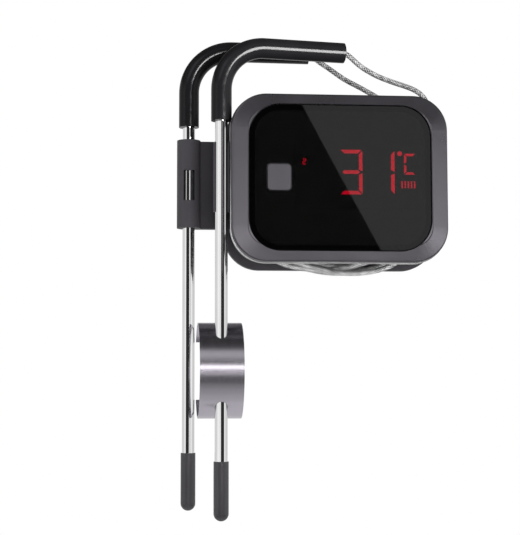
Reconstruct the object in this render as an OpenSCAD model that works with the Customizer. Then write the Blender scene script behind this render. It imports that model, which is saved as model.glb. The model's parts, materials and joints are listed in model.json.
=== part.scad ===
// Wireless grill thermometer: a display head on a cable winder with a magnetic back,
// two bent probes in a side holder, and a spring clip that slides on the front probe.
// +X is right as the user sees it, +Y points away from the user and +Z is up.
// The origin is the centre of the magnetic rear face.

/* [Display head] */
// Width of the front frame
head_w = 68; // [66:1:76]
// Height of the front frame
head_h = 52.6; // [51:0.2:60]
// Distance from the magnetic rear face to the front face
head_depth = 28; // [28:0.5:31]
// Corner radius of the front frame
head_corner_r = 11; // [10:0.5:12]
// Slope of the frame's face, down to its outer edge
face_slope = 11; // [6:1:13]
// Radius between the frame's face and its side
edge_r = 0.6; // [0.4:0.1:1]
// Chamfer along the frame's inner edge
inner_edge = 0.25; // [0.15:0.05:0.35]
// Wall of the frame and of the rear case
wall = 1.8; // [1.6:0.1:2]
// Depth of the front frame, from its face to the trim ring
frame_depth = 4; // [4:0.1:4.4]
// Thickness of the bright trim ring
trim_t = 1; // [0.8:0.1:1.2]
// How far the trim ring stands proud of the frame
trim_proud = 0.3; // [0.1:0.05:0.35]
// How far the rear case is set in from the frame
case_inset = 0.7; // [0.5:0.1:1]

/* [Lens and display] */
// Width of the frame beside the lens
frame_side = 5.2; // [4.8:0.2:6]
// Width of the frame above and below the lens
frame_top = 3.2; // [3:0.2:4]
// Corner radius of the lens
lens_corner_r = 10; // [8:0.5:10.5]
// Thickness of the lens
lens_t = 1.2; // [1:0.1:1.2]
// How far the lens lies below the frame's face
lens_recess = 0.5; // [0.4:0.1:0.6]
// Width of the ledge that carries the lens
ledge_w = 2; // [1.6:0.2:2.4]
// Height of a large digit
digit_h = 14; // [11:0.5:15]
// Width of a large digit
digit_w = 7.1; // [5.5:0.1:8]
// Width of a lit segment
segment_w = 1.1; // [0.8:0.05:1.4]

/* [Push button] */
// Width of the push button
button_w = 7.4; // [6:0.1:9]
// Height of the push button
button_h = 8.3; // [6:0.1:10]
// Distance from the lens's left edge to the middle of the button
button_side = 9.6; // [8:0.2:10.4]
// Travel of the push button
button_travel = 0.5; // [0.3:0.1:0.5]

/* [Cable winder] */
// Width of the winder core
core_w = 52; // [51:0.5:54]
// Height of the winder core
core_h = 38; // [37:0.5:40]
// Corner radius of the winder core
core_r = 12; // [11:0.5:12.5]
// Width of the channel that the cables are wound in
channel_w = 9.4; // [9:0.1:9.6]
// Thickness of the back plate
plate_t = 3; // [3:0.1:3.4]
// Width of the back plate
plate_w = 69.6; // [68:0.2:72]
// Height of the back plate
plate_h = 54; // [53:0.5:60]
// Diameter of a magnet
magnet_d = 9; // [6:0.5:9.5]
// Thickness of a magnet
magnet_t = 1.8; // [1.2:0.1:2]

/* [Battery bay] */
// Diameter of a battery cell
cell_d = 10.5; // [9.5:0.1:10.6]
// Length of a battery cell
cell_l = 44.5; // [42:0.1:44.6]
// Thickness of the battery door
door_t = 1.8; // [1.7:0.1:2]

/* [Probe holder] */
// Height of the holder
holder_h = 28.6; // [20:0.2:29.6]
// Height of the holder's middle above the origin
holder_z = 0.6; // [-1:0.1:1]
// Outer diameter of the tube that holds the rear probe
tube_d = 7.6; // [7:0.1:8]
// Width of the window in the tube
window_w = 3.5; // [2.5:0.1:3.8]
// Height of the window in the tube
window_h = 9.8; // [4:0.2:14]
// Wall of the open clip that holds the front probe
jaw_t = 0.5; // [0.4:0.1:1.15]
// Height of the open clip
jaw_h = 22; // [12:1:24]

/* [Probes] */
// Diameter of the probe shaft
shaft_d = 4; // [3.4:0.1:4.2]
// Wall of the probe shaft
shaft_wall = 0.5; // [0.3:0.05:0.6]
// Outer diameter of the black sleeve
sleeve_d = 6.5; // [5.6:0.1:6.6]
// Radius of the bend, to the centre of the shaft
bend_r = 14; // [8:0.5:15]
// Length of the handle, from the shaft's axis to its end
handle_l = 40.4; // [30:0.1:41]
// Length of the probe, from the handle's axis to the tip of its cap
probe_l = 148.4; // [135:0.1:180]
// Length of the sleeve down the shaft, from the handle's axis
sleeve_l = 24; // [20:0.1:24.4]
// Length of the tip cap
cap_l = 18.2; // [12:0.1:22]
// Outer diameter of the tip cap
cap_d = 4.7; // [4.6:0.1:5.2]
// Length of the pointed tip
point_l = 7; // [4:0.5:8]

/* [Spring clip] */
// Outer radius of the spring clip
clip_r = 15.1; // [13:0.1:16]
// Thickness of the clip's strip
clip_t = 0.7; // [0.5:0.05:1]
// Width of the clip's strip
clip_w = 13.7; // [9:0.1:13.8]
// Half angle of the clip's open back
clip_open = 40; // [40:1:50]
// Distance from the clip's centre to the shaft
clip_reach = 9.5; // [8:0.1:9.9]
// Height of the clip's centre above the cap
clip_height = 28.1; // [24:0.1:29]

/* [Cable] */
// Diameter of the braided cable
cable_d = 1.7; // [1.4:0.1:2]
// Layers of cable on the core
cable_layers = 3; // [1:1:3]

/* [Hidden] */
$fn = 64;

// Clearances: a shaft in its hole, a loose fit in a recess, and a soft piece beside a hard one
fit = 0.05;
loose = 0.15;
soft_gap = 0.3;
// Extra length of a cutting tool, so that it passes its face
over = 1;

// Depths from front to back; the viewer is at negative y
y_front = -head_depth;
y_lens = y_front + lens_recess;
y_ledge = y_lens + lens_t;
ledge_t = 1.4;
y_ledge_back = y_ledge + ledge_t;
y_frame_back = y_front + frame_depth;
y_trim_back = y_frame_back + trim_t;
y_plate = -plate_t;
y_case_back = y_plate - channel_w;
board_t = 1.2;
y_board = y_frame_back + 3.4;
y_board_back = y_board + board_t;

// Outlines of the head
lens_w = head_w - 2 * frame_side;
lens_h = head_h - 2 * frame_top;
lens_edge = 0.3;
case_w = head_w - 2 * case_inset;
case_h = head_h - 2 * case_inset;
case_r = head_corner_r - case_inset;
cavity_w = head_w - 2 * wall;
cavity_h = head_h - 2 * wall;
cavity_r = head_corner_r - wall;
lip_t = 1.2;
lip_l = 1.4;

// Push button: its stem stops just short of the switch when it is pressed
button_x = lens_w / 2 - button_side;
button_r = 1.2;
button_edge = 0.5;
button_hole_r = 1.5;
button_flange = 1.2;
button_flange_t = 0.8;
button_stem_d = 3;
button_proud = 0.2;
switch_w = 6;
switch_h = 2.8;
plunger_d = 2.8;
plunger_h = 0.6;
y_button_stem = y_board - switch_h - plunger_h - button_travel - 0.1;

// Screw posts of the head
post_x = head_w / 2 - 7.7;
post_z = head_h / 2 - 7.7;
post_d = 6.6;
spigot_d = 5;
spigot_l = 2;
screw_d = 2.2;
screw_head_d = 3.8;
screw_head_t = 1.3;

// Battery bay
cell_gap = 0.7;
bay_rim = 0.75;
bay_h = 2 * cell_d + cell_gap + 1;
contact_t = 0.4;
spring_l = 3;
bay_w = cell_l + spring_l + 2 * contact_t + 0.3;
cell_y = y_plate - bay_rim - cell_d / 2;
cell_z = (cell_d + cell_gap) / 2;
y_bay = cell_y - cell_d / 2 - 0.35;
bay_wall = 1.2;
// A cell's button end touches its contact and its flat end sits on the spring
cell_x = bay_w / 2 - contact_t - cell_l / 2;

// Battery door: pins at the ends of its round upper edge turn in holes in the back plate
door_ledge = 1.1;
door_w = bay_w + 2 * door_ledge;
door_h = bay_h + 2 * door_ledge;
door_r = 2;
door_fit = 0.25;
door_pin_d = 1.2;
door_pin_l = 1.2;
door_axis_y = -door_t / 2;
door_axis_z = door_h / 2 - door_t / 2;
notch_w = 12;

// Back plate
plate_r = head_corner_r + 0.5;
magnet_x = plate_w / 2 - 8.3;
magnet_z = plate_h / 2 - 8.5;
plate_screw_x = core_w / 2 - 9.5;
plate_screw_z = core_h / 2 - 3.2;
plate_screw_l = 6;

// Probes: the shaft's axis and the handle's height of each, and how the handle is turned
holder_rib = 2;
probe_clear = 2.8;
probe_pitch = 9.5;
// The front probe stands clear of the head, and its rib in the holder clear of the back plate
front_probe_x = -max(head_w / 2 + probe_clear, plate_w / 2 + holder_rib);
front_probe_y = y_trim_back + 1.8;
front_probe_z = 42.4;
front_probe_turn = 9.5;
rear_probe_x = front_probe_x - probe_pitch;
rear_probe_y = y_plate - 1.9;
rear_probe_z = 44.4;
rear_probe_turn = 2;
cap_bore = shaft_d + 2 * fit;
cap_end = 1;
shaft_end = probe_l - cap_end - soft_gap;
// The rear probe's handle is a little shorter, and its sleeve reaches a little further down
rear_handle_l = handle_l - 1.2;
rear_sleeve_l = sleeve_l + 1.3;

// Holder
window_wall = 0.5;
window_drop = 0.6;
tube_y = min(rear_probe_y - shaft_d / 2 - fit - window_wall + tube_d / 2, -tube_d / 2);
tongue_l = 3;
tongue_step = 1.5;
tongue_t = 1.6;
jaw_forward = 0.8;

// Cables: the winding's outer shape, and the hand-laid route of each free lead
winding_grow = soft_gap + cable_layers * (cable_d + 0.1);
winding_w = core_w + 2 * winding_grow;
winding_h = core_h + 2 * winding_grow;
winding_r = core_r + winding_grow;
winding_loose_r = 9;
sag = 4.8;
sag_r = 54;
winding_gap = 0.3;
winding_t = (channel_w - 2 * soft_gap - winding_gap) / 2;
gland_x = 7;
gland_d = 4.2;
gland_bore_l = 10;
front_lead = [
  [3.4, -14.5, 42.4], [4.9, -14.35, 41.5], [7, -14.1, 39.7], [9.7, -13.8, 37.7],
  [12.7, -13.4, 36.1], [15.8, -13, 34.8], [18.9, -12.6, 33.8], [22, -12.3, 32.9], [25, -12, 32],
  [27.4, -11.6, 31], [29.4, -11.2, 29.6], [31, -10.7, 27.2], [32.2, -10.3, 23.5],
  [32.6, -10, 19], [32.3, -10, 15], [31.5, -10, 11]
];
rear_lead = [
  [-6.9, -3.5, 44.4], [-5.4, -3.55, 43.4], [-3.7, -3.6, 42.1], [-0.5, -3.8, 39.9],
  [2.5, -4.1, 37.7], [5.8, -4.45, 35.5], [8.8, -4.8, 33.9], [11.5, -5, 32.4], [14, -5.1, 31],
  [17, -5.3, 29.2], [20.5, -5.4, 27.2], [24.5, -5.4, 25], [28, -5.4, 22.3], [30.8, -5.4, 19],
  [32, -5.4, 15], [31.7, -5.4, 11]
];

// ---------- Shared shapes ----------

// A 2D shape drawn as seen from the front, made solid from one depth to another
module slab(y0, y1) {
  translate([0, y1, 0])
    rotate([90, 0, 0])
      linear_extrude(y1 - y0)
        children();
}

module round_rect(w, h, r) {
  square([w - 2 * r, h], center = true);
  square([w, h - 2 * r], center = true);
  for (sx = [-1, 1], sz = [-1, 1])
    translate([sx * (w / 2 - r), sz * (h / 2 - r)])
      circle(r);
}

// A 2D section swept round a rounded rectangle: its x points outwards from the outline, and its y
// towards the viewer from the depth y1
module swept_rim(w, h, r, y1) {
  translate([0, y1, 0])
    rotate([90, 0, 0])
      for (a = [0, 1, 2, 3])
        rotate([0, 0, a * 90])
          rim_quarter(a % 2 == 0 ? w : h, a % 2 == 0 ? h : w, r)
            children();
}

// One corner and the straight side that it ends
module rim_quarter(w, h, r) {
  translate([w / 2 - r, h / 2 - r, 0])
    rotate_extrude(angle = 90)
      translate([r, 0])
        children();
  translate([w / 2, h / 2 - r, 0])
    rotate([90, 0, 0])
      linear_extrude(h - 2 * r)
        children();
}

// The band inside a rim that has a rounded front edge
module edge_section(band, depth, edge) {
  translate([-band, 0])
    square([band, depth - edge]);
  translate([-band, 0])
    square([band - edge, depth]);
  translate([-edge, depth - edge])
    circle(edge);
}

// A plate with a rounded front edge
module soft_slab(w, h, r, y0, y1, edge) {
  inset = 0.6 * r;
  slab(y0, y1)
    round_rect(w - 2 * inset, h - 2 * inset, r - inset);
  swept_rim(w, h, r, y1)
    edge_section(0.8 * r, y1 - y0, edge);
}

module four_corners(x, z) {
  for (sx = [-1, 1], sz = [-1, 1])
    translate([sx * x, 0, sz * z])
      children();
}

// A round bar along +Y
module y_rod(d, y0, y1, d2 = 0) {
  translate([0, y0, 0])
    rotate([-90, 0, 0])
      cylinder(d1 = d, d2 = d2 > 0 ? d2 : d, h = y1 - y0);
}

// A round bar that drops, bends and runs along +X; the handle's axis is at the origin's height
module bent_bar(d, down, along) {
  translate([0, 0, -down])
    cylinder(d = d, h = down - bend_r);
  translate([bend_r, 0, -bend_r])
    rotate([90, 0, 0])
      rotate([0, 0, 90])
        rotate_extrude(angle = 90)
          translate([bend_r, 0])
            circle(d = d);
  translate([bend_r, 0, 0])
    rotate([0, 90, 0])
      cylinder(d = d, h = along - bend_r);
}

function unit(v) = v / norm(v);
function ring(c, t, ref, r, n) =
  let (u = unit(cross(t, ref)), v = cross(u, t))
  [for (k = [0:n - 1]) c + r * (cos(360 * k / n) * u + sin(360 * k / n) * v)];
function along(p, i) =
  unit(p[min(i + 1, len(p) - 1)] - p[max(i - 1, 0)]);

// A tube of n sides swept along points; start gives the direction of its first face
module swept(p, d, n, ref, start) {
  m = len(p);
  pts = [for (i = [0:m - 1]) each ring(p[i], i == 0 ? start : along(p, i), ref, d / 2, n)];
  sides = [for (i = [0:m - 2], k = [0:n - 1])
    let (a = i * n + k, b = i * n + (k + 1) % n)
    each [[a, b, b + n], [a, b + n, a + n]]];
  first = [for (k = [0:n - 1]) n - 1 - k];
  last = [for (k = [0:n - 1]) (m - 1) * n + k];
  polyhedron(points = pts, faces = concat([first], sides, [last]));
}

// ---------- Front of the head ----------

// The frame's band: its face slopes from a chamfer at the lens down to a rounded outer edge
module frame_section() {
  band = frame_side + ledge_w + 1;
  side_h = frame_depth - frame_side * tan(face_slope);
  arc_y = side_h - edge_r * (1 - sin(face_slope)) / cos(face_slope);
  chamfer_y = frame_depth - inner_edge * tan(face_slope);
  translate([-edge_r, arc_y])
    circle(edge_r);
  polygon([
    [-band, 0], [0, 0], [0, arc_y], [-edge_r, arc_y],
    [-edge_r, arc_y] + edge_r * [sin(face_slope), cos(face_slope)],
    [-frame_side + inner_edge, chamfer_y], [-frame_side, chamfer_y - inner_edge],
    [-band, chamfer_y - inner_edge]
  ]);
}

module front_frame() {
  color([0.36, 0.35, 0.36])
    difference() {
      union() {
        difference() {
          swept_rim(head_w, head_h, head_corner_r, y_frame_back)
            frame_section();
          slab(y_ledge_back, y_frame_back + over)
            round_rect(cavity_w, cavity_h, cavity_r);
        }
        four_corners(post_x, post_z) {
          y_rod(post_d, y_ledge_back - 0.2, y_board);
          y_rod(spigot_d, y_board - 0.1, y_board + spigot_l);
        }
      }
      slab(y_front - over, y_ledge)
        round_rect(lens_w, lens_h, lens_corner_r);
      slab(y_ledge - over, y_frame_back + over)
        round_rect(lens_w - 2 * ledge_w, lens_h - 2 * ledge_w, lens_corner_r - ledge_w);
      four_corners(post_x, post_z)
        y_rod(screw_d - 0.4, y_ledge_back + 0.6, y_board + spigot_l + over);
    }
}

module trim_ring() {
  color([0.85, 0.85, 0.87])
    difference() {
      slab(y_frame_back, y_trim_back)
        round_rect(head_w + 2 * trim_proud, head_h + 2 * trim_proud, head_corner_r + trim_proud);
      slab(y_frame_back - over, y_trim_back + over)
        round_rect(cavity_w, cavity_h, cavity_r);
    }
}

module lens() {
  color([0.02, 0.02, 0.025])
    difference() {
      soft_slab(lens_w - 2 * loose, lens_h - 2 * loose, lens_corner_r - loose,
        y_lens, y_ledge, lens_edge);
      translate([-button_x, 0, 0])
        slab(y_lens - over, y_ledge + over)
          round_rect(button_w + 4 * loose, button_h + 4 * loose, button_hole_r);
    }
}

module push_button() {
  y_flange = y_ledge + soft_gap;
  color([0.42, 0.41, 0.41])
    translate([-button_x, 0, 0]) {
      soft_slab(button_w, button_h, button_r, y_lens - button_proud, y_flange + 0.05, button_edge);
      slab(y_flange, y_flange + button_flange_t)
        round_rect(button_w + 2 * button_flange, button_h + 2 * button_flange, button_hole_r);
      y_rod(button_stem_d, y_flange + button_flange_t - 0.1, y_button_stem);
    }
}

module button_switch() {
  color([0.2, 0.2, 0.2])
    translate([-button_x, 0, 0]) {
      slab(y_board - switch_h, y_board)
        round_rect(switch_w, switch_w, 0.5);
      y_rod(plunger_d, y_board - switch_h - plunger_h, y_board - switch_h + 0.1);
    }
}

// ---------- Display ----------

// The display fills the window between the button and the ledge
display_left = button_w / 2 + button_flange + 0.5 - button_x;
display_right = lens_w / 2 - ledge_w - 0.3;
display_border = 4.5;
digit_base = -5.1;
digit_gap = 3.05;
digits_l = 26.6;
display_z = digit_base + digit_h / 2;
display_h = digit_h + 2 * display_border;
// Left side of each character
tens_x = display_right - digits_l;
units_x = tens_x + digit_w + digit_gap;
unit_mark_x = units_x + digit_w + digit_gap;
small_digit_side = 1.9;
small_digit_x = display_left + small_digit_side;
y_display = y_ledge + 0.3;
segment_t = 0.2;

module display_module() {
  color([0.05, 0.05, 0.05])
    translate([(display_left + display_right) / 2, 0, display_z])
      slab(y_display, y_board)
        round_rect(display_right - display_left, display_h, 0.6);
}

// Which of the bars top, upper right, lower right, base, lower left, upper left, middle are lit
function lit(n) =
  n == 1 ? [0, 1, 1, 0, 0, 0, 0] :
  n == 2 ? [1, 1, 0, 1, 1, 0, 1] :
  n == 3 ? [1, 1, 1, 1, 0, 0, 1] :
  [1, 0, 0, 1, 1, 1, 0];

// A bar beside the outline, from a to b, mitred at its two ends
function edge_bar(a, b, cut_a, cut_b, s, g) =
  let (u = unit(b - a), v = [u[1], -u[0]])
  [a + g * u, b - g * u, b - (g + cut_b) * u + s * v, a + (g + cut_a) * u + s * v];

module character(n, w, h, s) {
  g = s * 0.26;
  m = h / 2;
  e = s / 2;
  bars = [
    edge_bar([0, h], [w, h], s, s, s, g), edge_bar([w, h], [w, m], s, e, s, g),
    edge_bar([w, m], [w, 0], e, s, s, g), edge_bar([w, 0], [0, 0], s, s, s, g),
    edge_bar([0, 0], [0, m], s, e, s, g), edge_bar([0, m], [0, h], e, s, s, g),
    [[e + g, m], [s + g, m + e], [w - s - g, m + e], [w - e - g, m], [w - s - g, m - e],
      [s + g, m - e]]
  ];
  on = lit(n);
  for (i = [0:6])
    if (on[i] == 1)
      polygon(bars[i]);
}

module lit_segments() {
  mark_h = digit_h * 0.47;
  color([0.85, 0.1, 0.16])
    slab(y_display - segment_t, y_display) {
      translate([tens_x, digit_base])
        character(3, digit_w, digit_h, segment_w);
      translate([units_x, digit_base])
        character(1, digit_w, digit_h, segment_w);
      translate([small_digit_x, digit_base + 9.25])
        character(2, 1.15, 1.8, 0.22);
      translate([unit_mark_x, digit_base + digit_h - 1 - mark_h])
        character(4, 3.6, mark_h, 0.72);
      translate([unit_mark_x - 1.4, digit_base + digit_h - 1])
        circle(d = 1.5);
      translate([unit_mark_x - 0.9, digit_base + 2.1])
        level_mark(4.4, 2.2);
    }
}

// A plain level mark: a row of thin bars
module level_mark(w, h) {
  bars = 5;
  bar_w = 0.4;
  for (i = [0:bars - 1])
    translate([i * (w - bar_w) / (bars - 1), 0])
      square([bar_w, h]);
}

// ---------- Electronics ----------

board_w = case_w - 2 * wall - 2.6;
board_h = case_h - 2 * wall - 2.6;

module circuit_board() {
  color([0.05, 0.3, 0.14])
    difference() {
      slab(y_board, y_board_back)
        round_rect(board_w, board_h, case_r - wall - 1.2);
      four_corners(post_x, post_z)
        y_rod(spigot_d + 0.4, y_board - over, y_board_back + over);
    }
}

// Blocks on the board's rear face; each stands a part of the board's width from its middle
chip_w = 9;
chip_t = 1.2;
radio_w = 12;
radio_h = 9;
radio_t = 1.6;
buzzer_d = 9;
buzzer_t = 2.6;

module on_board(x, z) {
  translate([x * board_w, y_board_back, z * board_h])
    children();
}

module control_chip() {
  color([0.1, 0.1, 0.1])
    on_board(0.03, -0.09)
      slab(0, chip_t)
        round_rect(chip_w, chip_w, 0.4);
}

module radio_module() {
  color([0.75, 0.75, 0.72])
    on_board(0.31, 0.13)
      slab(0, radio_t)
        round_rect(radio_w, radio_h, 0.4);
}

module buzzer() {
  color([0.08, 0.08, 0.08])
    on_board(-0.23, -0.09)
      difference() {
        y_rod(buzzer_d, 0, buzzer_t);
        y_rod(1.6, buzzer_t - 1, buzzer_t + over);
      }
}

// ---------- Rear case, winder core and battery bay ----------

module battery_recess() {
  slab(y_bay, over)
    square([bay_w, bay_h], center = true);
}

module rear_case() {
  color([0.13, 0.13, 0.13])
    difference() {
      union() {
        difference() {
          union() {
            slab(y_trim_back, y_case_back)
              round_rect(case_w, case_h, case_r);
            slab(y_trim_back - lip_l, y_case_back)
              round_rect(cavity_w - 2 * loose, cavity_h - 2 * loose, cavity_r - loose);
          }
          slab(y_trim_back - lip_l - over, y_case_back - wall)
            round_rect(cavity_w - 2 * lip_t, cavity_h - 2 * lip_t, cavity_r - lip_t);
        }
        four_corners(post_x, post_z)
          y_rod(post_d, y_board + spigot_l + 0.05, y_case_back - 0.2);
        slab(y_bay - bay_wall, y_case_back)
          square([bay_w + 2 * bay_wall, bay_h + 2 * bay_wall], center = true);
        slab(y_case_back - 0.2, y_plate)
          round_rect(core_w, core_h, core_r);
      }
      battery_recess();
      four_corners(post_x, post_z) {
        y_rod(screw_d + 0.3, y_board, y_case_back + over);
        y_rod(screw_head_d + 0.3, y_case_back - screw_head_t - 0.1, y_case_back + over);
      }
      four_corners(plate_screw_x, plate_screw_z)
        y_rod(screw_d - 0.4, y_plate - plate_screw_l, y_plate + over);
      core_pockets();
      gland_places()
        cylinder(d = gland_d, h = gland_bore_l, center = true);
    }
}

// Pockets that core out the thick places between the bay and the winder's rim
module core_pockets() {
  rim = 1.4;
  pocket_h = (core_h - bay_h) / 2 - rim - bay_wall;
  pocket_w = 2 * (plate_screw_x - 3);
  for (s = [-1, 1])
    translate([0, 0, s * (core_h / 2 - rim - pocket_h / 2)])
      slab(y_case_back, y_plate + over)
        square([pocket_w, pocket_h], center = true);
}

// Where the two cables go into the core, one behind the other
module gland_places() {
  for (i = [0, 1])
    translate([(2 * i - 1) * gland_x, winding_y(i) + winding_t / 2, core_h / 2])
      children();
}
function winding_y(i) = y_case_back + soft_gap + i * (winding_t + winding_gap);

module cable_glands() {
  color([0.06, 0.06, 0.06])
    gland_places()
      difference() {
        translate([0, 0, -1.4])
          cylinder(d = gland_d, h = 1.4 + soft_gap);
        translate([0, 0, -over - 1.4])
          cylinder(d = cable_d + 2 * loose, h = 4 + over);
      }
}

module screw(y_head, y_end, countersunk) {
  slot_l = 2;
  slot_w = 0.45;
  difference() {
    union() {
      if (countersunk)
        y_rod(screw_d, y_head - 1.2, y_head, screw_head_d + 0.4);
      else
        y_rod(screw_head_d, y_head - screw_head_t, y_head);
      y_rod(screw_d - 0.4, y_end, y_head - 1);
    }
    y_rod(0.9, y_head - 0.7, y_head + over);
    slab(y_head - 0.6, y_head + over) {
      square([slot_l, slot_w], center = true);
      square([slot_w, slot_l], center = true);
    }
  }
}

module case_screws() {
  color([0.6, 0.6, 0.62])
    four_corners(post_x, post_z)
      screw(y_case_back - 0.1, y_board, false);
}

module plate_screws() {
  color([0.6, 0.6, 0.62])
    four_corners(plate_screw_x, plate_screw_z)
      screw(-0.1, y_plate - plate_screw_l + 0.5, true);
}

// A cell with its button end towards +X
module cell() {
  nub = 1.2;
  translate([-cell_l / 2, 0, 0])
    rotate([0, 90, 0]) {
      cylinder(d = cell_d, h = cell_l - nub);
      cylinder(d = 3.8, h = cell_l);
    }
}

module battery_cell_upper() {
  color([0.75, 0.55, 0.2])
    translate([cell_x, cell_y, cell_z])
      cell();
}

module battery_cell_lower() {
  color([0.75, 0.55, 0.2])
    translate([-cell_x, cell_y, -cell_z])
      rotate([0, 0, 180])
        cell();
}

module battery_contacts() {
  size = 8;
  color([0.8, 0.8, 0.8])
    for (sx = [-1, 1], sz = [-1, 1])
      translate([sx * (bay_w / 2 - contact_t / 2), cell_y, sz * cell_z])
        cube([contact_t, size, size], center = true);
}

// A conical coil from the contact plate to the flat end of the cell
module coil() {
  turns = 3;
  steps = 12;
  wire = 0.5;
  wide_r = cell_d / 2 - 1.85;
  narrow_r = cell_d / 2 - 3.25;
  room = bay_w - 2 * contact_t - cell_l - wire - 0.1;
  p = [for (i = [0:turns * steps])
    let (a = 360 * i / steps, f = i / (turns * steps), r = wide_r + (narrow_r - wide_r) * f)
    [wire / 2 + 0.02 + room * f, r * cos(a), r * sin(a)]];
  swept(p, wire, 6, [1, 0, 0], along(p, 0));
}

module battery_springs() {
  color([0.8, 0.8, 0.8]) {
    translate([-bay_w / 2 + contact_t, cell_y, cell_z])
      coil();
    translate([bay_w / 2 - contact_t, cell_y, -cell_z])
      rotate([0, 0, 180])
        coil();
  }
}

// ---------- Back plate and battery door ----------

module back_plate() {
  color([0.16, 0.16, 0.16])
    difference() {
      slab(y_plate, 0)
        round_rect(plate_w, plate_h, plate_r);
      slab(-door_t - 0.1, over)
        door_outline(door_fit);
      slab(y_plate - over, over)
        square([bay_w, bay_h], center = true);
      door_bar(door_pin_d + 2 * fit, door_w / 2 + door_pin_l + loose);
      four_corners(magnet_x, magnet_z)
        y_rod(magnet_d + 2 * fit, -magnet_t - 0.2, over);
      four_corners(plate_screw_x, plate_screw_z) {
        y_rod(screw_d + 0.3, y_plate - over, over);
        y_rod(screw_d + 0.3, -1.5, 0, screw_head_d + 1);
        y_rod(screw_head_d + 1, 0, over);
      }
      holder_tongue(fit);
    }
}

// Round at its lower corners and square at the hinge
module door_outline(grow) {
  w = door_w + 2 * grow;
  round_rect(w, door_h + 2 * grow, door_r + grow);
  translate([-w / 2, 0])
    square([w, door_h / 2 + grow]);
}

// A round bar on the door's axis
module door_bar(d, reach) {
  translate([0, door_axis_y, door_axis_z])
    rotate([0, 90, 0])
      cylinder(d = d, h = 2 * reach, center = true);
}

module battery_door() {
  rib_t = 0.6;
  color([0.13, 0.13, 0.13])
    difference() {
      union() {
        slab(-door_t, 0)
          intersection() {
            door_outline(0);
            translate([0, door_axis_z - door_h / 2])
              square([door_w, door_h], center = true);
          }
        door_bar(door_t, door_w / 2);
        door_bar(door_pin_d, door_w / 2 + door_pin_l);
        for (i = [-1, 0, 1])
          translate([0, 0, i * cell_z * 1.6])
            slab(-door_t - rib_t, -door_t + 0.1)
              square([bay_w - 6, 0.8], center = true);
      }
      translate([0, 0, -door_h / 2])
        y_rod(notch_w, -0.8, over);
      for (i = [0:3])
        translate([0, 0, -door_h / 2 + notch_w / 2 + 1.4 + i * 1.6])
          slab(-0.4, over)
            square([notch_w, 0.7], center = true);
    }
}

module magnets() {
  color([0.7, 0.7, 0.72])
    four_corners(magnet_x, magnet_z)
      y_rod(magnet_d, -magnet_t - 0.2, -0.2);
}

// ---------- Probe holder ----------

module holder_tongue(grow) {
  translate([-plate_w / 2, 0, holder_z])
    slab(y_plate / 2 - tongue_t / 2 - grow, y_plate / 2 + tongue_t / 2 + grow)
      translate([tongue_l / 2, 0])
        square([tongue_l + 2 * grow, holder_h - 2 * tongue_step + 2 * grow], center = true);
}

module probe_holder() {
  bore_d = shaft_d + 2 * fit;
  jaw_d = bore_d + 2 * jaw_t;
  color([0.12, 0.12, 0.12])
    difference() {
      union() {
        translate([0, 0, holder_z])
          slab(y_plate, 0)
            translate([(rear_probe_x - plate_w / 2) / 2, 0])
              square([-plate_w / 2 - rear_probe_x, holder_h], center = true);
        holder_tongue(0);
        translate([rear_probe_x, tube_y, holder_z])
          cylinder(d = tube_d, h = holder_h, center = true);
        translate([front_probe_x, 0, holder_z])
          slab(front_probe_y, y_plate + 0.5)
            square([holder_rib, holder_h], center = true);
        translate([front_probe_x, front_probe_y, holder_z])
          cylinder(d = jaw_d, h = jaw_h, center = true);
      }
      translate([rear_probe_x, rear_probe_y, holder_z])
        cylinder(d = bore_d, h = holder_h + 2 * over, center = true);
      translate([rear_probe_x, rear_probe_y - tube_d / 2, holder_z - window_drop])
        cube([window_w, tube_d, window_h], center = true);
      translate([front_probe_x, front_probe_y, holder_z])
        cylinder(d = bore_d, h = holder_h + 2 * over, center = true);
      translate([front_probe_x, front_probe_y - jaw_forward - jaw_d / 2, holder_z])
        cube([jaw_d + over, jaw_d, holder_h + 2 * over], center = true);
    }
}

// ---------- Probes ----------

module at_front_probe() {
  translate([front_probe_x, front_probe_y, front_probe_z])
    rotate([0, 0, front_probe_turn])
      children();
}

module at_rear_probe() {
  translate([rear_probe_x, rear_probe_y, rear_probe_z])
    rotate([0, 0, rear_probe_turn])
      children();
}

module shaft(handle) {
  bore = shaft_d - 2 * shaft_wall;
  color([0.85, 0.85, 0.86])
    difference() {
      union() {
        bent_bar(shaft_d, shaft_end - point_l, handle);
        translate([0, 0, -shaft_end])
          cylinder(d1 = 1, d2 = shaft_d, h = point_l);
      }
      bent_bar(bore, shaft_end - point_l, handle + over);
    }
}

module sleeve(length, handle) {
  color([0.07, 0.07, 0.07])
    difference() {
      bent_bar(sleeve_d, length, handle);
      bent_bar(shaft_d + 2 * fit, length + over, handle + over);
    }
}

module sensor() {
  length = 8;
  color([0.5, 0.45, 0.2])
    translate([0, 0, -(shaft_end - point_l)])
      cylinder(d = shaft_d - 2 * shaft_wall - 2 * fit, h = length);
}

module tip_cap() {
  round_r = cap_d / 2;
  color([0.2, 0.2, 0.2])
    difference() {
      union() {
        translate([0, 0, -probe_l + round_r])
          cylinder(d = cap_d, h = cap_l - round_r);
        translate([0, 0, -probe_l + round_r])
          sphere(d = cap_d);
      }
      translate([0, 0, -(shaft_end - point_l)])
        cylinder(d = cap_bore, h = cap_l);
      translate([0, 0, -shaft_end - 0.2])
        cylinder(d1 = 1, d2 = cap_bore, h = point_l + 0.2);
    }
}

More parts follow.
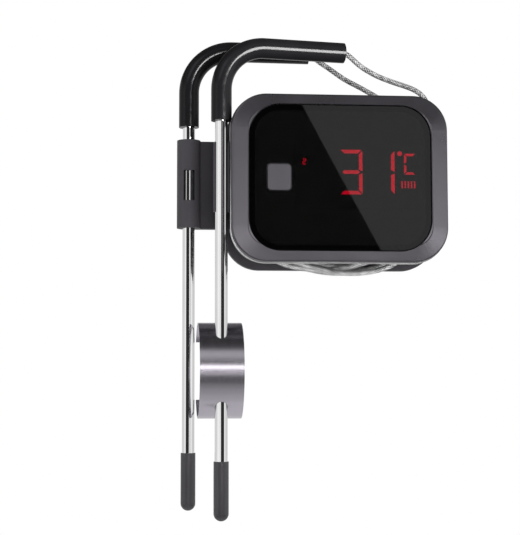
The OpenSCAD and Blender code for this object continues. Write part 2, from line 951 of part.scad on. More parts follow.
module front_probe_shaft() { at_front_probe() shaft(handle_l); }
module front_probe_sleeve() { at_front_probe() sleeve(sleeve_l, handle_l); }
module front_probe_sensor() { at_front_probe() sensor(); }
module front_probe_cap() { at_front_probe() tip_cap(); }
module rear_probe_shaft() { at_rear_probe() shaft(rear_handle_l); }
module rear_probe_sleeve() { at_rear_probe() sleeve(rear_sleeve_l, rear_handle_l); }
module rear_probe_sensor() { at_rear_probe() sensor(); }
module rear_probe_cap() { at_rear_probe() tip_cap(); }

// A strip bent round to an open ring, which the shaft passes through twice
module spring_clip() {
  centre_z = front_probe_z - probe_l + cap_l + clip_height;
  color([0.62, 0.62, 0.63])
    translate([front_probe_x, front_probe_y, centre_z])
      difference() {
        translate([0, clip_reach, 0])
          rotate([0, 90, 0])
            difference() {
              cylinder(r = clip_r, h = clip_w, center = true);
              cylinder(r = clip_r - clip_t, h = clip_w + over, center = true);
              linear_extrude(clip_w + over, center = true)
                polygon([[0, 0], for (s = [-1, 1])
                  2 * clip_r * [s * sin(clip_open), cos(clip_open)]]);
            }
        cylinder(d = shaft_d + 2 * fit, h = 3 * clip_r, center = true);
      }
}

// ---------- Cables ----------

module winding_outline() {
  difference() {
    union() {
      hull() {
        for (sx = [-1, 1]) {
          translate([sx * (winding_w / 2 - winding_r), winding_h / 2 - winding_r])
            circle(winding_r, $fn = 48);
          translate([sx * (winding_w / 2 - winding_loose_r), -winding_h / 2 + winding_loose_r])
            circle(winding_loose_r, $fn = 32);
        }
      }
      intersection() {
        translate([0, sag_r - winding_h / 2 - sag])
          circle(sag_r, $fn = 128);
        translate([0, -winding_h / 2 - 2])
          square([winding_w - 2 * winding_loose_r, 2 * sag + 4], center = true);
      }
    }
    round_rect(core_w + 2 * soft_gap, core_h + 2 * soft_gap, core_r + soft_gap);
  }
}

module winding(i) {
  color([0.55, 0.54, 0.53])
    slab(winding_y(i), winding_y(i) + winding_t)
      winding_outline();
}

module lead(p, turn) {
  color([0.6, 0.59, 0.58])
    swept(p, cable_d, 8, [0, 1, 0], [cos(turn), sin(turn), 0]);
}

module front_cable_lead() { lead(front_lead, front_probe_turn); }
module front_cable_winding() { winding(0); }
module rear_cable_lead() { lead(rear_lead, rear_probe_turn); }
module rear_cable_winding() { winding(1); }

front_frame();
trim_ring();
lens();
display_module();
lit_segments();
circuit_board();
button_switch();
buzzer();
control_chip();
radio_module();
push_button();
rear_case();
case_screws();
battery_contacts();
battery_springs();
battery_cell_upper();
battery_cell_lower();
back_plate();
plate_screws();
magnets();
battery_door();
cable_glands();
probe_holder();
front_probe_shaft();
front_probe_sleeve();
front_probe_sensor();
front_probe_cap();
rear_probe_shaft();
rear_probe_sleeve();
rear_probe_sensor();
rear_probe_cap();
spring_clip();
front_cable_lead();
front_cable_winding();
rear_cable_lead();
rear_cable_winding();
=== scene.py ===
"""Looks of the grill thermometer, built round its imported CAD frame.

Metres, in the CAD's own frame: +X is right as the user sees the display, +Y points away from
the user and +Z is up. The origin is the centre of the magnetic rear face.
"""
import json
import math

import bpy
import numpy as np
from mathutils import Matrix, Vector
from mathutils.bvhtree import BVHTree


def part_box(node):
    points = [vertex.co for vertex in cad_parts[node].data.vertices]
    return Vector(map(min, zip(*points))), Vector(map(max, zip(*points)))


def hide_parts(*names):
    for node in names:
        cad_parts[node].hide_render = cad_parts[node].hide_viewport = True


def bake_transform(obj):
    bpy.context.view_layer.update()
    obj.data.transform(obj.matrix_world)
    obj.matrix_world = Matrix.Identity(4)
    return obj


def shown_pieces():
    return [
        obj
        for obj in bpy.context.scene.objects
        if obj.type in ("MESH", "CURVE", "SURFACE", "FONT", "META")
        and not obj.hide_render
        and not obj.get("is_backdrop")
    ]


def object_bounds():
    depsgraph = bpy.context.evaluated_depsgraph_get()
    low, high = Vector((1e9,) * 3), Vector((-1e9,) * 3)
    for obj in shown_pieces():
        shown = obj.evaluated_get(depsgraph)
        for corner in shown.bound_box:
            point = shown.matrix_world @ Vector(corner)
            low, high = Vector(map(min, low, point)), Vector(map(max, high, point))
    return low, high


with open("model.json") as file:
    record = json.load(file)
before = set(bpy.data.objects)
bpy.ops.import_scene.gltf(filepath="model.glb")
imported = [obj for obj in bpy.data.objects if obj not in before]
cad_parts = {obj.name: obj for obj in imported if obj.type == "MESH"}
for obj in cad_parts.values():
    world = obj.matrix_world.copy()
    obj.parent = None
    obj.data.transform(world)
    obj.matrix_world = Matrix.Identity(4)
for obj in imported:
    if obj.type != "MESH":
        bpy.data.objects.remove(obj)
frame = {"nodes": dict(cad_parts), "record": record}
CAD_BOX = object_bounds()
NODES = frame["nodes"]
MM = 0.001

# ---------- Camera ----------

# The photograph's frame, and the camera that its image points settle
PHOTO_W = 520
PHOTO_H = 535
LONG_SIDE = max(PHOTO_W, PHOTO_H)
SENSOR_WIDTH = 36.0
LENS = 96.9
SHIFT_X = 0.0
SHIFT_Y = 0.0
CAMERA_PLACE = (-0.06598, -0.46731, -0.06588)
# Degrees: to the right of +Y, above the horizon, and about the line of sight
CAMERA_YAW = 5.28
CAMERA_PITCH = 4.867
CAMERA_ROLL = -0.08


def make_camera():
    """The scene's camera, which stands where the photograph was taken from."""
    data = bpy.data.cameras.new("camera")
    data.sensor_fit = "AUTO"
    data.sensor_width = SENSOR_WIDTH
    data.lens = LENS
    data.shift_x = SHIFT_X
    data.shift_y = SHIFT_Y
    data.clip_start = 0.01
    data.clip_end = 20.0
    made = bpy.data.objects.new("camera", data)
    made.location = CAMERA_PLACE
    made.rotation_euler = (
        math.radians(90 + CAMERA_PITCH),
        math.radians(-CAMERA_ROLL),
        math.radians(-CAMERA_YAW),
    )
    bpy.context.scene.collection.objects.link(made)
    bpy.context.scene.camera = made
    bpy.context.view_layer.update()
    return made


camera = make_camera()

# ---------- Cords ----------

# A cable's diameter, the corners of each ring of its tube, and the distance between rings
CABLE_D = 1.7 * MM
TUBE_SIDES = 12
RING_STEP = 0.8 * MM
# Route of each free lead, from the handle's end to the winding, as in part.scad
FRONT_LEAD = [
    (0.0034, -0.0145, 0.0424), (0.0049, -0.01435, 0.0415), (0.0070, -0.0141, 0.0397),
    (0.0097, -0.0138, 0.0377), (0.0127, -0.0134, 0.0361), (0.0158, -0.0130, 0.0348),
    (0.0189, -0.0126, 0.0338), (0.0220, -0.0123, 0.0329), (0.0250, -0.0120, 0.0320),
    (0.0274, -0.0116, 0.0310), (0.0294, -0.0112, 0.0296), (0.0310, -0.0107, 0.0272),
    (0.0322, -0.0103, 0.0235), (0.0326, -0.0100, 0.0190), (0.0323, -0.0100, 0.0150),
    (0.0315, -0.0100, 0.0110),
]
REAR_LEAD = [
    (-0.0069, -0.0035, 0.0444), (-0.0054, -0.00355, 0.0434), (-0.0037, -0.0036, 0.0421),
    (-0.0005, -0.0038, 0.0399), (0.0025, -0.0041, 0.0377), (0.0058, -0.00445, 0.0355),
    (0.0088, -0.0048, 0.0339), (0.0115, -0.0050, 0.0324), (0.0140, -0.0051, 0.0310),
    (0.0170, -0.0053, 0.0292), (0.0205, -0.0054, 0.0272), (0.0245, -0.0054, 0.0250),
    (0.0280, -0.0054, 0.0223), (0.0308, -0.0054, 0.0190), (0.0320, -0.0054, 0.0150),
    (0.0317, -0.0054, 0.0110),
]
# The winder's core, and where the turns lie on it: two columns in each of three layers. The
# first layer's middle lies FIRST_LAYER outside the core, and a column's COLUMN_REACH from the
# middle of the channel.
CORE_W = 52 * MM
CORE_H = 38 * MM
CORE_R = 12 * MM
FIRST_LAYER = 1.15 * MM
LAYER_PITCH = 1.8 * MM
COLUMN_REACH = 1.0 * MM
# Column (-1 is nearer the user) and layer of each turn, from the outermost to the innermost
SLOTS = [(-1, 2), (1, 2), (1, 1), (-1, 1), (-1, 0), (1, 0)]
# Distance between the points of a turn, and the least that is left for one more at its end
POINT_STEP = 2.4 * MM
TINY = 1e-9
# The outermost turn starts this far along the loop, where the free lead ends
FIRST_TURN_START = 1.5 * MM
# How far past its gland's place a turn starts to move into the next slot, and over what length
SHIFT_START = 1.5 * MM
SHIFT_L = 4.4 * MM
# The innermost turn moves to the middle between the columns over this length, and then bends
# down into its gland: the bend's radius, and its steps in degrees
CENTRING_L = 8 * MM
GLAND_BEND = 3.4 * MM
GLAND_BEND_STEP = 15
# How far each gland lies beside the core's middle
GLAND_X = 7 * MM
# How the two outermost turns hang at the bottom: depth, place of the lowest point, half width
FRONT_SAGS = [(4.8 * MM, 5.5 * MM, 23 * MM), (3.6 * MM, -4 * MM, 20 * MM)]
REAR_SAGS = [(4.4 * MM, 2 * MM, 22 * MM), (3.1 * MM, 13 * MM, 22 * MM)]

FLAT_X = CORE_W / 2 - CORE_R
FLAT_Z = CORE_H / 2 - CORE_R
SIDES = (2 * FLAT_Z, 2 * FLAT_X, 2 * FLAT_Z, 2 * FLAT_X)
CORNER_L = CORE_R * math.pi / 2
LOOP_L = sum(SIDES) + 4 * CORNER_L
# Distance along the loop to the left end of its top side
TOP_START = LOOP_L - CORNER_L - 2 * FLAT_X


def loop_point(offset, along):
    """(x, z) of a point that lies offset outside the core.

    along is measured on the core's outline, clockwise as the user sees it, from the top of the
    right side.
    """
    x, z, normal = FLAT_X, FLAT_Z, 0.0
    left = along % LOOP_L
    for side in SIDES:
        step = min(left, side)
        x += step * math.sin(normal)
        z -= step * math.cos(normal)
        left -= step
        turn = min(left, CORNER_L)
        normal -= turn / CORE_R
        left -= turn
        if left <= 0:
            break
    r = CORE_R + offset
    return x + r * math.cos(normal), z + r * math.sin(normal)


def eased(t):
    """0 below 0 and 1 above 1, with a smooth rise between."""
    t = min(max(t, 0.0), 1.0)
    return t * t * (3 - 2 * t)


def sagged(x, z, sag):
    """How far a loose turn hangs below its place on the loop."""
    depth, middle, half = sag
    reach = 1 - ((x - middle) / half) ** 2
    return depth * reach**1.5 if z < 0 and reach > 0 else 0.0


def winding_points(y_middle, gland_x, sags):
    """The points of a whole winding, from its outermost turn to its end in the gland."""
    gland_along = TOP_START + gland_x + FLAT_X
    points = []
    last = len(SLOTS) - 1
    for turn, (column, layer) in enumerate(SLOTS):
        next_column, next_layer = SLOTS[min(turn + 1, last)]
        end = LOOP_L if turn < last else gland_along - GLAND_BEND
        shift_at = gland_along + SHIFT_START + (last - 1 - turn) * SHIFT_L
        along = 0.0 if turn else FIRST_TURN_START
        while along < end - TINY:
            moved = eased((along - shift_at) / SHIFT_L)
            offset = FIRST_LAYER + LAYER_PITCH * (layer + (next_layer - layer) * moved)
            side = column + (next_column - column) * moved
            if turn == last:
                side *= 1 - eased(1 - (end - along) / CENTRING_L)
            x, z = loop_point(offset, along)
            if turn < len(sags):
                z -= sagged(x, z, sags[turn])
            points.append((x, y_middle + side * COLUMN_REACH, z))
            along += POINT_STEP
    z_top = CORE_H / 2 + FIRST_LAYER
    for angle in range(0, 91, GLAND_BEND_STEP):
        a = math.radians(angle)
        points.append((
            gland_x - GLAND_BEND + GLAND_BEND * math.sin(a),
            y_middle,
            z_top - GLAND_BEND + GLAND_BEND * math.cos(a),
        ))
    return points


def smooth_line(points, step):
    """A natural cubic spline through the points, as new points that lie step apart."""
    p = np.array(points)
    t = np.concatenate([[0], np.cumsum(np.linalg.norm(np.diff(p, axis=0), axis=1))])
    h = np.diff(t)
    n = len(p)
    system = np.eye(n)
    right = np.zeros((n, 3))
    for i in range(1, n - 1):
        system[i, i - 1 : i + 2] = h[i - 1], 2 * (h[i - 1] + h[i]), h[i]
        right[i] = 6 * ((p[i + 1] - p[i]) / h[i] - (p[i] - p[i - 1]) / h[i - 1])
    bend = np.linalg.solve(system, right)
    at = np.linspace(0, t[-1], int(t[-1] / step) + 1)
    i = np.clip(np.searchsorted(t, at, side="right") - 1, 0, n - 2)
    a = ((t[i + 1] - at) / h[i])[:, None]
    b = 1 - a
    curved = ((a**3 - a) * bend[i] + (b**3 - b) * bend[i + 1]) * (h[i] ** 2)[:, None] / 6
    return a * p[i] + b * p[i + 1] + curved


def tube_mesh(name, line, diameter, sides):
    """A closed tube along the line; its UV map runs round it and, in diameters, along it."""
    ahead = np.gradient(line, axis=0)
    ahead /= np.linalg.norm(ahead, axis=1)[:, None]
    up = np.cross(ahead[0], (0.0, 1.0, 0.0))
    rings = []
    for centre, tangent in zip(line, ahead):
        up = up - tangent * np.dot(up, tangent)
        up /= np.linalg.norm(up)
        across = np.cross(tangent, up)
        for k in range(sides):
            a = 2 * math.pi * k / sides
            rings.append(centre + diameter / 2 * (math.cos(a) * up + math.sin(a) * across))
    faces = []
    uvs = []
    along = np.concatenate([[0], np.cumsum(np.linalg.norm(np.diff(line, axis=0), axis=1))])
    along /= diameter
    for i in range(len(line) - 1):
        for k in range(sides):
            a, b = i * sides + k, i * sides + (k + 1) % sides
            faces.append((a, b, b + sides, a + sides))
            u0, u1 = k / sides, (k + 1) / sides
            uvs += [(u0, along[i]), (u1, along[i]), (u1, along[i + 1]), (u0, along[i + 1])]
    ends = [list(range(sides))[::-1], [(len(line) - 1) * sides + k for k in range(sides)]]
    for end in ends:
        faces.append(end)
        uvs += [(0.0, 0.0)] * sides
    mesh = bpy.data.meshes.new(name)
    mesh.from_pydata([tuple(v) for v in rings], [], faces)
    layer = mesh.uv_layers.new(name="UVMap")
    layer.data.foreach_set("uv", np.array(uvs, np.float32).ravel())
    mesh.polygons.foreach_set("use_smooth", [True] * (len(faces) - 2) + [False] * 2)
    mesh.update()
    return mesh


def make_cable(name, lead, gland_x, sags):
    """One cable: its free lead, its winding and its end in the gland, in one piece."""
    low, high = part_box(f"{name}_winding")
    y_middle = (low.y + high.y) / 2
    line = smooth_line(lead + winding_points(y_middle, gland_x, sags), RING_STEP)
    cable = bpy.data.objects.new(f"{name}_braid", tube_mesh(name, line, CABLE_D, TUBE_SIDES))
    bpy.context.scene.collection.objects.link(cable)
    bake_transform(cable)
    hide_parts(f"{name}_lead", f"{name}_winding")
    return cable


front_cable = make_cable(
    "front_cable", FRONT_LEAD, -GLAND_X, FRONT_SAGS
)
rear_cable = make_cable(
    "rear_cable", REAR_LEAD, GLAND_X, REAR_SAGS
)

# ---------- Materials ----------

LIT_STRENGTH = 34.0
# Bundles that lie side by side round a cable, and how many cross one diameter of its length
BRAID_STRANDS = 3
BRAID_PITCH = 0.8
# Half the length of a cell's dark band, and the soft edge where the copper colour starts
CELL_BAND = 13 * MM
CELL_BAND_EDGE = 0.2 * MM


class Look:
    """A Principled material and short names for the nodes that give it its detail."""

    def __init__(self, name, **sockets):
        self.material = bpy.data.materials.new(name)
        self.material.use_nodes = True
        self.tree = self.material.node_tree
        self.shader = self.tree.nodes["Principled BSDF"]
        for socket, value in sockets.items():
            self.shader.inputs[socket.replace("_", " ")].default_value = value
        self.place = self.node("ShaderNodeTexCoord").outputs["Object"]

    def node(self, kind, inputs=None, **settings):
        """A new node; inputs gives its sockets a value or another node's output."""
        made = self.tree.nodes.new(kind)
        for setting, value in settings.items():
            setattr(made, setting, value)
        for socket, value in (inputs or {}).items():
            self.set(made.inputs[socket], value)
        return made

    def set(self, socket, value):
        if isinstance(value, bpy.types.NodeSocket):
            self.tree.links.new(value, socket)
        else:
            socket.default_value = value

    def math(self, operation, a, b=0.0):
        return self.node("ShaderNodeMath", {0: a, 1: b}, operation=operation).outputs[0]

    def stretched(self, scale):
        """The piece's own coordinates, in units of 1 / scale along each axis."""
        return self.node("ShaderNodeMapping", {"Vector": self.place, "Scale": scale}).outputs[0]

    def noise(self, scale, detail=2.0, where=None):
        inputs = {"Vector": where or self.place, "Scale": scale, "Detail": detail}
        return self.node("ShaderNodeTexNoise", inputs).outputs["Fac"]

    def level(self, value, low, high, from_low=0.3, from_high=0.7):
        """value taken from one range to another; a noise mostly fills the default range."""
        inputs = {"Value": value, "From Min": from_low, "From Max": from_high}
        inputs.update({"To Min": low, "To Max": high})
        return self.node("ShaderNodeMapRange", inputs).outputs["Result"]

    def blend(self, share, a, b):
        """The colour between a and b at share."""
        mixed = self.node("ShaderNodeMix", data_type="RGBA")
        self.set(mixed.inputs[0], share)
        self.set(mixed.inputs[6], (*a, 1.0))
        self.set(mixed.inputs[7], (*b, 1.0))
        return mixed.outputs[2]

    def colour(self, value):
        self.set(self.shader.inputs["Base Color"], value)

    def roughness(self, value):
        self.set(self.shader.inputs["Roughness"], value)

    def bump(self, height, distance, strength=1.0):
        inputs = {"Height": height, "Distance": distance, "Strength": strength}
        self.set(self.shader.inputs["Normal"], self.node("ShaderNodeBump", inputs).outputs[0])


def grey(value, warm=0.0):
    """A linear grey; warm adds red and takes blue away."""
    return (value * (1 + warm), value, value * (1 - warm))


def tinted(value):
    """The faintly violet grey of the painted and moulded pieces."""
    return (value * 1.04, value * 0.98, value * 1.1)


def satin_paint(name, dark, light, roughness, flake=0.02 * MM):
    """Metallic paint: fine flakes, a little mottling and slight unevenness in its gloss."""
    look = Look(name, Metallic=0.9, IOR=1.5)
    flakes = look.noise(7000, 1.0)
    mottle = look.noise(90, 3.0)
    mixed = look.math("ADD", look.math("MULTIPLY", flakes, 0.6), look.math("MULTIPLY", mottle, 0.4))
    look.colour(look.blend(look.level(mixed, 0.0, 1.0), dark, light))
    look.roughness(look.level(mottle, roughness - 0.04, roughness + 0.05))
    look.bump(flakes, flake, 0.35)
    return look.material


def moulded(name, dark, light, roughness, texture=0.03 * MM, scale=2600, specular=0.5):
    """Moulded plastic or rubber: a fine sparked texture, with faint flow marks in its colour."""
    look = Look(name, Specular_IOR_Level=specular)
    spark = look.noise(scale, 3.0)
    flow = look.noise(1.0, 2.0, look.stretched((160, 160, 45)))
    look.colour(look.blend(look.level(flow, 0.0, 1.0), dark, light))
    look.roughness(look.level(spark, roughness - 0.05, roughness + 0.05))
    look.bump(spark, texture, 0.4)
    return look.material


def bright_metal(name, tint, roughness, lines=(5000, 5000, 60), depth=0.002 * MM, spread=0.03):
    """Polished or brushed metal: its fine lines run along the axis of the smallest of lines."""
    look = Look(name, Metallic=1.0)
    brushed = look.noise(1.0, 4.0, look.stretched(lines))
    stain = look.noise(60, 3.0)
    look.colour(look.blend(look.level(stain, 0.0, 1.0), [c * 0.93 for c in tint], tint))
    look.roughness(look.level(brushed, max(roughness - spread, 0.02), roughness + spread))
    look.bump(brushed, depth, 0.5)
    return look.material


def smoked_glass():
    """The lens: dark right through, with a faint unevenness of its polish."""
    look = Look("smoked_lens", Transmission_Weight=1.0, IOR=1.5)
    haze = look.noise(300, 2.0)
    look.colour(look.blend(look.level(haze, 0.0, 1.0), grey(0.012), grey(0.014)))
    look.roughness(look.level(haze, 0.0, 0.012))
    return look.material


def lit_red():
    """A lit segment: its glow varies a little across it, from a noise, as light spreads in the
    diffuser.
    """
    look = Look("lit_red", Roughness=0.5)
    glow = look.noise(900, 2.0)
    look.colour(look.blend(glow, (0.35, 0.01, 0.02), (0.5, 0.015, 0.03)))
    look.set(
        look.shader.inputs["Emission Color"],
        look.blend(look.level(glow, 0.0, 1.0), (0.8, 0.0, 0.02), (1.0, 0.0, 0.03)),
    )
    look.shader.inputs["Emission Strength"].default_value = LIT_STRENGTH
    return look.material


def braid():
    """Braided steel wire: two families of strands that pass over and under each other, with painted
    shade where they dip into the gaps, and random wear.
    """
    look = Look("braided_steel", Metallic=0.6)
    uv = look.node("ShaderNodeTexCoord").outputs["UV"]
    split = look.node("ShaderNodeSeparateXYZ", {0: uv})
    round_it = look.math("MULTIPLY", split.outputs["X"], 2 * math.pi * BRAID_STRANDS)
    along = look.math("MULTIPLY", split.outputs["Y"], 2 * math.pi * BRAID_PITCH)
    one = look.math("SINE", look.math("ADD", round_it, along))
    other = look.math("SINE", look.math("SUBTRACT", round_it, along))
    over = look.math("MULTIPLY", one, other)
    height = look.math("ABSOLUTE", over)
    worn = look.noise(800, 2.0)
    # The colour is darker where height is low, where the strands dip under each other: painted
    # shade in the braid's gaps, added to random wear.
    mixed = look.math("ADD", look.math("MULTIPLY", height, 0.55), look.math("MULTIPLY", worn, 0.8))
    look.colour(look.blend(look.level(mixed, 0.0, 1.0, 0.4, 0.85), grey(0.05), grey(0.9)))
    look.roughness(look.level(worn, 0.4, 0.55))
    look.bump(height, 0.1 * MM, 1.0)
    return look.material


def board():
    """Solder resist, with copper tracks that show through it."""
    look = Look("board", Roughness=0.35)
    cells = look.node("ShaderNodeTexBrick", {"Vector": look.place, "Scale": 420.0})
    look.set(cells.inputs["Color1"], (0.008, 0.09, 0.03, 1.0))
    look.set(cells.inputs["Color2"], (0.012, 0.13, 0.045, 1.0))
    look.set(cells.inputs["Mortar"], (0.02, 0.19, 0.07, 1.0))
    look.colour(cells.outputs["Color"])
    look.bump(cells.outputs["Fac"], 0.03 * MM, 0.4)
    return look.material


def cell_jacket():
    """The shrink jacket of a cell: a plain two-tone band with faint wrinkles."""
    look = Look("cell_jacket", Roughness=0.3, Coat_Weight=0.4)
    x = look.node("ShaderNodeSeparateXYZ", {0: look.place}).outputs["X"]
    reach = look.math("ABSOLUTE", x)
    band = look.level(reach, 0.0, 1.0, CELL_BAND, CELL_BAND + CELL_BAND_EDGE)
    look.colour(look.blend(band, (0.03, 0.03, 0.035), (0.62, 0.36, 0.09)))
    look.bump(look.noise(1.0, 3.0, look.stretched((120, 900, 900))), 0.05 * MM, 0.3)
    return look.material


# Material of each of the record's slots
LOOKS = {
    "gunmetal_plastic": satin_paint("gunmetal", tinted(0.107), tinted(0.136), roughness=0.3),
    "bright_trim": bright_metal("bright_trim", grey(0.85), roughness=0.12, lines=(60, 60, 3000)),
    "black_lens": smoked_glass(),
    "display_body": moulded("display_body", grey(0.006), grey(0.012), roughness=0.5),
    "lit_red": lit_red(),
    "board_green": board(),
    "component_black": moulded("component_black", grey(0.012), grey(0.02), roughness=0.55),
    "shield_tin": bright_metal("shield_tin", grey(0.7, 0.02), 0.35, lines=(500, 500, 500)),
    "button_grey": moulded(
        "button_grey", tinted(0.08), tinted(0.09), 0.42, texture=0.01 * MM, scale=3000
    ),
    "black_plastic": moulded("black_plastic", tinted(0.056), tinted(0.066), 0.5, specular=0.2),
    "screw_steel": bright_metal(
        "screw_steel", grey(0.62), 0.28, lines=(900, 900, 900), depth=0.01 * MM
    ),
    "spring_steel": bright_metal("spring_steel", grey(0.78, 0.02), 0.2, lines=(600, 600, 600)),
    "cell_jacket": cell_jacket(),
    "magnet": bright_metal("magnet", grey(0.72), 0.18, lines=(500, 500, 500)),
    "gland_rubber": moulded("gland_rubber", grey(0.01), grey(0.016), roughness=0.6),
    "polished_steel": bright_metal("polished_steel", grey(0.86), roughness=0.05),
    "sleeve_rubber": moulded(
        "sleeve_rubber", tinted(0.004), tinted(0.005), 0.15, texture=0.0, scale=900, specular=0.12
    ),
    "cap_rubber": moulded(
        "cap_rubber", tinted(0.027), tinted(0.04), 0.38, texture=0.01 * MM, scale=1500
    ),
    "sensor_epoxy": moulded("sensor_epoxy", (0.2, 0.16, 0.05), (0.26, 0.21, 0.07), 0.4),
    "clip_steel": bright_metal(
        "clip_steel", tinted(0.6), 0.24, lines=(5000, 60, 60), depth=0.004 * MM
    ),
    "braided_steel": braid(),
}


def dress_pieces():
    """Every CAD node takes the material of its slot in the record, and the cables take theirs."""
    for part in frame["record"]["subparts"]:
        node = NODES[part["node"]]
        node.data.materials.clear()
        node.data.materials.append(LOOKS[part["material_slot"]])
    for cable in (front_cable, rear_cable):
        cable.data.materials.append(LOOKS["braided_steel"])


dress_pieces()

# ---------- Floor and light ----------

# The part hangs by its magnetic back, so the floor lies a little below its tips
FLOOR_DROP = 0.045
FLOOR_SIDES = 96
# The floor fades from the first radius to the second
FLOOR_CLEAR_R = 0.12
FLOOR_R = 0.38


def make_floor():
    """A pale disc that fades into the white surround, and keeps the shadow near its middle."""
    z = CAD_BOX[0].z - FLOOR_DROP
    angles = [2 * math.pi * k / FLOOR_SIDES for k in range(FLOOR_SIDES)]
    corners = [(FLOOR_R * math.cos(a), FLOOR_R * math.sin(a), z) for a in angles]
    mesh = bpy.data.meshes.new("floor")
    mesh.from_pydata(corners, [], [list(range(FLOOR_SIDES))])
    floor = bpy.data.objects.new("floor", mesh)
    bpy.context.scene.collection.objects.link(floor)
    look = Look("pale_floor", Roughness=0.9)
    look.colour(look.blend(look.noise(30, 3.0), grey(0.88), grey(0.92)))
    split = look.node("ShaderNodeSeparateXYZ", {0: look.place})
    x_squared, y_squared = (look.math("POWER", split.outputs[k], 2.0) for k in "XY")
    reach = look.math("SQRT", look.math("ADD", x_squared, y_squared))
    look.set(look.shader.inputs["Alpha"], look.level(reach, 1.0, 0.0, FLOOR_CLEAR_R, FLOOR_R))
    mesh.materials.append(look.material)
    floor.visible_glossy = False
    floor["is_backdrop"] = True
    return floor


# What mirrors and satin surfaces see all round: patches laid over each other, each from and to
# in azimuth and in height, its soft edge, all in degrees, and its level, where 1 is white.
# Azimuth 0 is where the viewer stands, and grows to the right.
SURROUND = [
    (-181, 181, -91, 91, 1, 0.66),
    (-181, -76, -30, 70, 6, 0.76),
    (76, 181, -30, 70, 6, 0.7),
    (-76, -47, -30, 50, 6, 1.0),
    (50, 76, -30, 50, 6, 0.95),
    (-181, 181, 24, 91, 6, 0.12),
    (-100, 100, 20, 91, 8, 0.27),
    (-100, 100, -76, -60, 6, 0.52),
    (-100, 100, -60, -45, 5, 0.42),
    (-100, 100, -45, -33, 5, 0.3),
    (-100, 100, -33, -14, 5, 0.12),
    (-100, 100, 52, 91, 5, 0.04),
    (-47, 50, -16, 30, 4, 0.03),
]
# The pale patch whose slanting left edge shows across the lens: that edge is where
# azimuth + SHEEN_SLANT * height is SHEEN_EDGE
SHEEN = (0, 12.8, 4.6, 14, 0.3, 0.66)
SHEEN_SLANT = 0.54
SHEEN_EDGE = 13.1
SHEEN_EDGE_SOFT = 0.1


def add_world():
    """White for the camera and through glass; the surround for mirrors and as light."""
    world = bpy.data.worlds.new("studio")
    bpy.context.scene.world = world
    world.use_nodes = True
    tree = world.node_tree
    tree.nodes.clear()

    def node(kind, inputs=None, **settings):
        made = tree.nodes.new(kind)
        for setting, value in settings.items():
            setattr(made, setting, value)
        for socket, value in (inputs or {}).items():
            if isinstance(value, bpy.types.NodeSocket):
                tree.links.new(value, made.inputs[socket])
            else:
                made.inputs[socket].default_value = value
        return made

    def calc(operation, a, b=0.0):
        return node("ShaderNodeMath", {0: a, 1: b}, operation=operation).outputs[0]

    def step(value, at, soft):
        """0 below at and 1 above it, over a soft edge."""
        inputs = {"Value": value, "From Min": at - soft / 2, "From Max": at + soft / 2}
        return node("ShaderNodeMapRange", inputs, interpolation_type="SMOOTHSTEP").outputs[0]

    def between(value, low, high, soft):
        """1 from low to high and 0 outside, over soft edges."""
        return calc("SUBTRACT", step(value, low, soft), step(value, high, soft))

    def over(below, share, level):
        """below, with level laid over it by share."""
        return node("ShaderNodeMix", {0: share, 2: below, 3: level}).outputs[0]

    split = node("ShaderNodeSeparateXYZ", {0: node("ShaderNodeTexCoord").outputs["Generated"]})
    x, y, z = (split.outputs[k] for k in "XYZ")
    azimuth = calc("DEGREES", calc("ARCTAN2", x, calc("MULTIPLY", y, -1.0)))
    height = calc("DEGREES", calc("ARCSINE", z))

    def patch(left, right, low, high, soft):
        sideways = between(azimuth, left, right, soft)
        return calc("MULTIPLY", sideways, between(height, low, high, soft))

    level = SURROUND[0][-1]
    for *area, shade in SURROUND[1:]:
        level = over(level, patch(*area), shade)
    *area, shade = SHEEN
    slanted = calc("ADD", azimuth, calc("MULTIPLY", height, SHEEN_SLANT))
    inside = step(slanted, SHEEN_EDGE, SHEEN_EDGE_SOFT)
    level = over(level, calc("MULTIPLY", patch(*area), inside), shade)

    path = node("ShaderNodeLightPath").outputs
    white = calc("MAXIMUM", path["Is Camera Ray"], path["Is Transmission Ray"])
    shown = over(level, white, 1.0)
    background = node("ShaderNodeBackground", {"Color": (1.0, 1.0, 1.0, 1.0), "Strength": shown})
    output = node("ShaderNodeOutputWorld")
    tree.links.new(background.outputs[0], output.inputs["Surface"])


def area_lamp(name, aim, azimuth, height, distance, size, level, only=(), glossy=True):
    """A lamp that lies at azimuth and height, in degrees, and distance from aim, and faces it.

    level is how bright its face is, where 1 is white. only lists the objects that it lights, and
    glossy says whether mirrors show it.
    """
    a, h = math.radians(azimuth), math.radians(height)
    away = Vector((math.sin(a) * math.cos(h), -math.cos(a) * math.cos(h), math.sin(h)))
    data = bpy.data.lights.new(name, "AREA")
    data.shape = "RECTANGLE"
    data.size, data.size_y = size
    data.energy = level * math.pi * size[0] * size[1]
    lamp = bpy.data.objects.new(name, data)
    lamp.location = Vector(aim) + away * distance
    lamp.rotation_euler = away.to_track_quat("Z", "Y").to_euler()
    lamp.visible_camera = False
    lamp.visible_glossy = glossy
    bpy.context.scene.collection.objects.link(lamp)
    if only:
        lit = bpy.data.collections.new(f"{name}_lit")
        for piece in only:
            lit.objects.link(piece)
        lamp.light_linking.receiver_collection = lit


def middle(node):
    """The middle of a node's box."""
    low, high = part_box(node)
    return (Vector(low) + Vector(high)) / 2


floor = make_floor()
add_world()

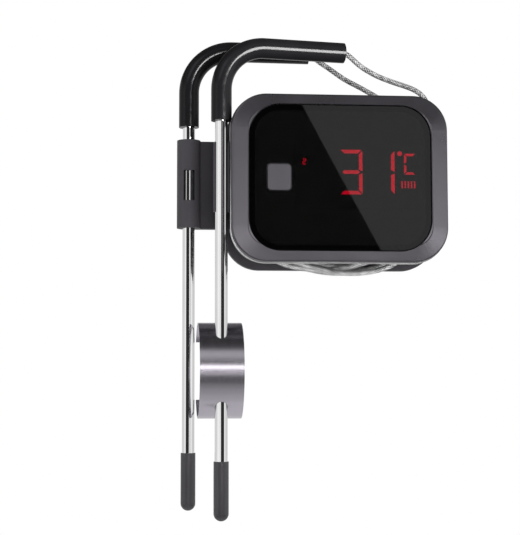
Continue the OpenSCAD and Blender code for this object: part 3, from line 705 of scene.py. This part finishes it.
# What the lamps are aimed at: the shafts' axes, which the caps share, and the fronts of pieces
SHAFT_AIM_Z = -0.04
FRONT_CAP = middle("front_probe_cap")
REAR_CAP = middle("rear_probe_cap")
FRONT_SHAFT = (FRONT_CAP.x, FRONT_CAP.y, SHAFT_AIM_Z)
REAR_SHAFT = (REAR_CAP.x, REAR_CAP.y, SHAFT_AIM_Z)
CLIP = (FRONT_CAP.x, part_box("spring_clip")[0].y, middle("spring_clip").z)
FRAME_FRONT = (0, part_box("front_frame")[0].y, 0)
BODY = (0, 0, -0.02)
HANDLE = (-0.015, -0.018, 0.0424)
LEADS = (0, -0.01, 0.03)
WINDING = (0.01, -0.01, -0.03)
FLOOR_AIM = (0, 0, -0.15)
CABLES = [front_cable, rear_cable]
SLEEVES = [NODES["front_probe_sleeve"], NODES["rear_probe_sleeve"]]
CAPS = [NODES["front_probe_cap"], NODES["rear_probe_cap"]]

# Each lamp: name, aim, azimuth, height, distance, size, level and what it lights. The key and
# the fill light everything, and no mirror shows the fill.
area_lamp("key", BODY, -35, 35, 1.2, (0.5, 0.5), 1.4)
area_lamp("fill", BODY, 10, 0, 1.5, (1.2, 1.2), 4.6, glossy=False)
# These shape one kind of surface each
area_lamp("floor_light", FLOOR_AIM, 0, 70, 1.3, (1.2, 1.2), 4.0, [floor], glossy=False)
area_lamp("frame_panel", FRAME_FRONT, 10, -2.5, 1.0, (1.5, 0.38), 2.5, [NODES["front_frame"]])
for name, aim, azimuth in (("front", FRONT_SHAFT, -28), ("rear", REAR_SHAFT, 31)):
    shaft = NODES[f"{name}_probe_shaft"]
    area_lamp(f"{name}_shaft_panel", aim, azimuth, 5, 0.6, (0.43, 0.7), 0.9, [shaft])
area_lamp("sleeve_strip", HANDLE, 25, -5.5, 1.0, (0.5, 0.44), 62.0, SLEEVES)
area_lamp("cap_strip", FRONT_CAP, 8, 20, 0.6, (0.12, 0.3), 8.0, CAPS)
area_lamp("cable_panel", LEADS, 10, 45, 0.8, (0.8, 0.5), 1.5, CABLES)
area_lamp("winding_panel", WINDING, 10, -35, 0.8, (0.8, 0.5), 4.3, CABLES)
# The bands that the clip's front mirrors to the camera: height, tall size, and level
CLIP_BANDS = [(7, 0.05, 4.4), (-6.5, 0.09, 0.65), (35, 0.22, 0.3)]
for height, tall, level in CLIP_BANDS:
    size = (0.4, tall)
    area_lamp(f"clip_band_{height}", CLIP, 3.65, height, 0.5, size, level, [NODES["spring_clip"]])

bpy.context.scene.view_settings.view_transform = "Standard"

# ---------- Measures ----------

# Where features show in the photograph
# Pieces that others show through
SEE_THROUGH = ["lens"]
# A point shows if no face lies further in front of it than this
HIDDEN_BY = 0.3 * MM


def in_photo(point):
    """Where a point shows in the photograph's frame."""
    seen = camera.matrix_world.inverted() @ Vector(point)
    scale = LONG_SIDE * LENS / SENSOR_WIDTH / -seen.z
    return (
        PHOTO_W / 2 - SHIFT_X * LONG_SIDE + seen.x * scale,
        PHOTO_H / 2 + SHIFT_Y * LONG_SIDE - seen.y * scale,
    )


def mesh_of(piece, graph):
    """The corners and faces of a piece as finished and placed."""
    shape = piece.evaluated_get(graph)
    mesh = shape.to_mesh()
    corners = [shape.matrix_world @ v.co for v in mesh.vertices]
    faces = [tuple(p.vertices) for p in mesh.polygons]
    shape.to_mesh_clear()
    return corners, faces


def seen_points():
    """The vertices of each piece that show, in the photograph's frame."""
    graph = bpy.context.evaluated_depsgraph_get()
    meshes = {o.name: mesh_of(o, graph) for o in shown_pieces()}
    corners, faces = [], []
    for name, (points, polygons) in meshes.items():
        if name in SEE_THROUGH:
            continue
        faces += [tuple(i + len(corners) for i in p) for p in polygons]
        corners += points
    tree = BVHTree.FromPolygons(corners, faces)
    eye = camera.matrix_world.translation
    seen = {}
    for name, (points, _) in meshes.items():
        shown = []
        for point in points:
            away = point - eye
            hit, _, _, distance = tree.ray_cast(eye, away.normalized())
            if hit is None or distance > away.length - HIDDEN_BY:
                shown.append(in_photo(point))
        if shown:
            seen[name] = np.array(shown)
    return seen


def write_points():
    seen = seen_points()


write_points()
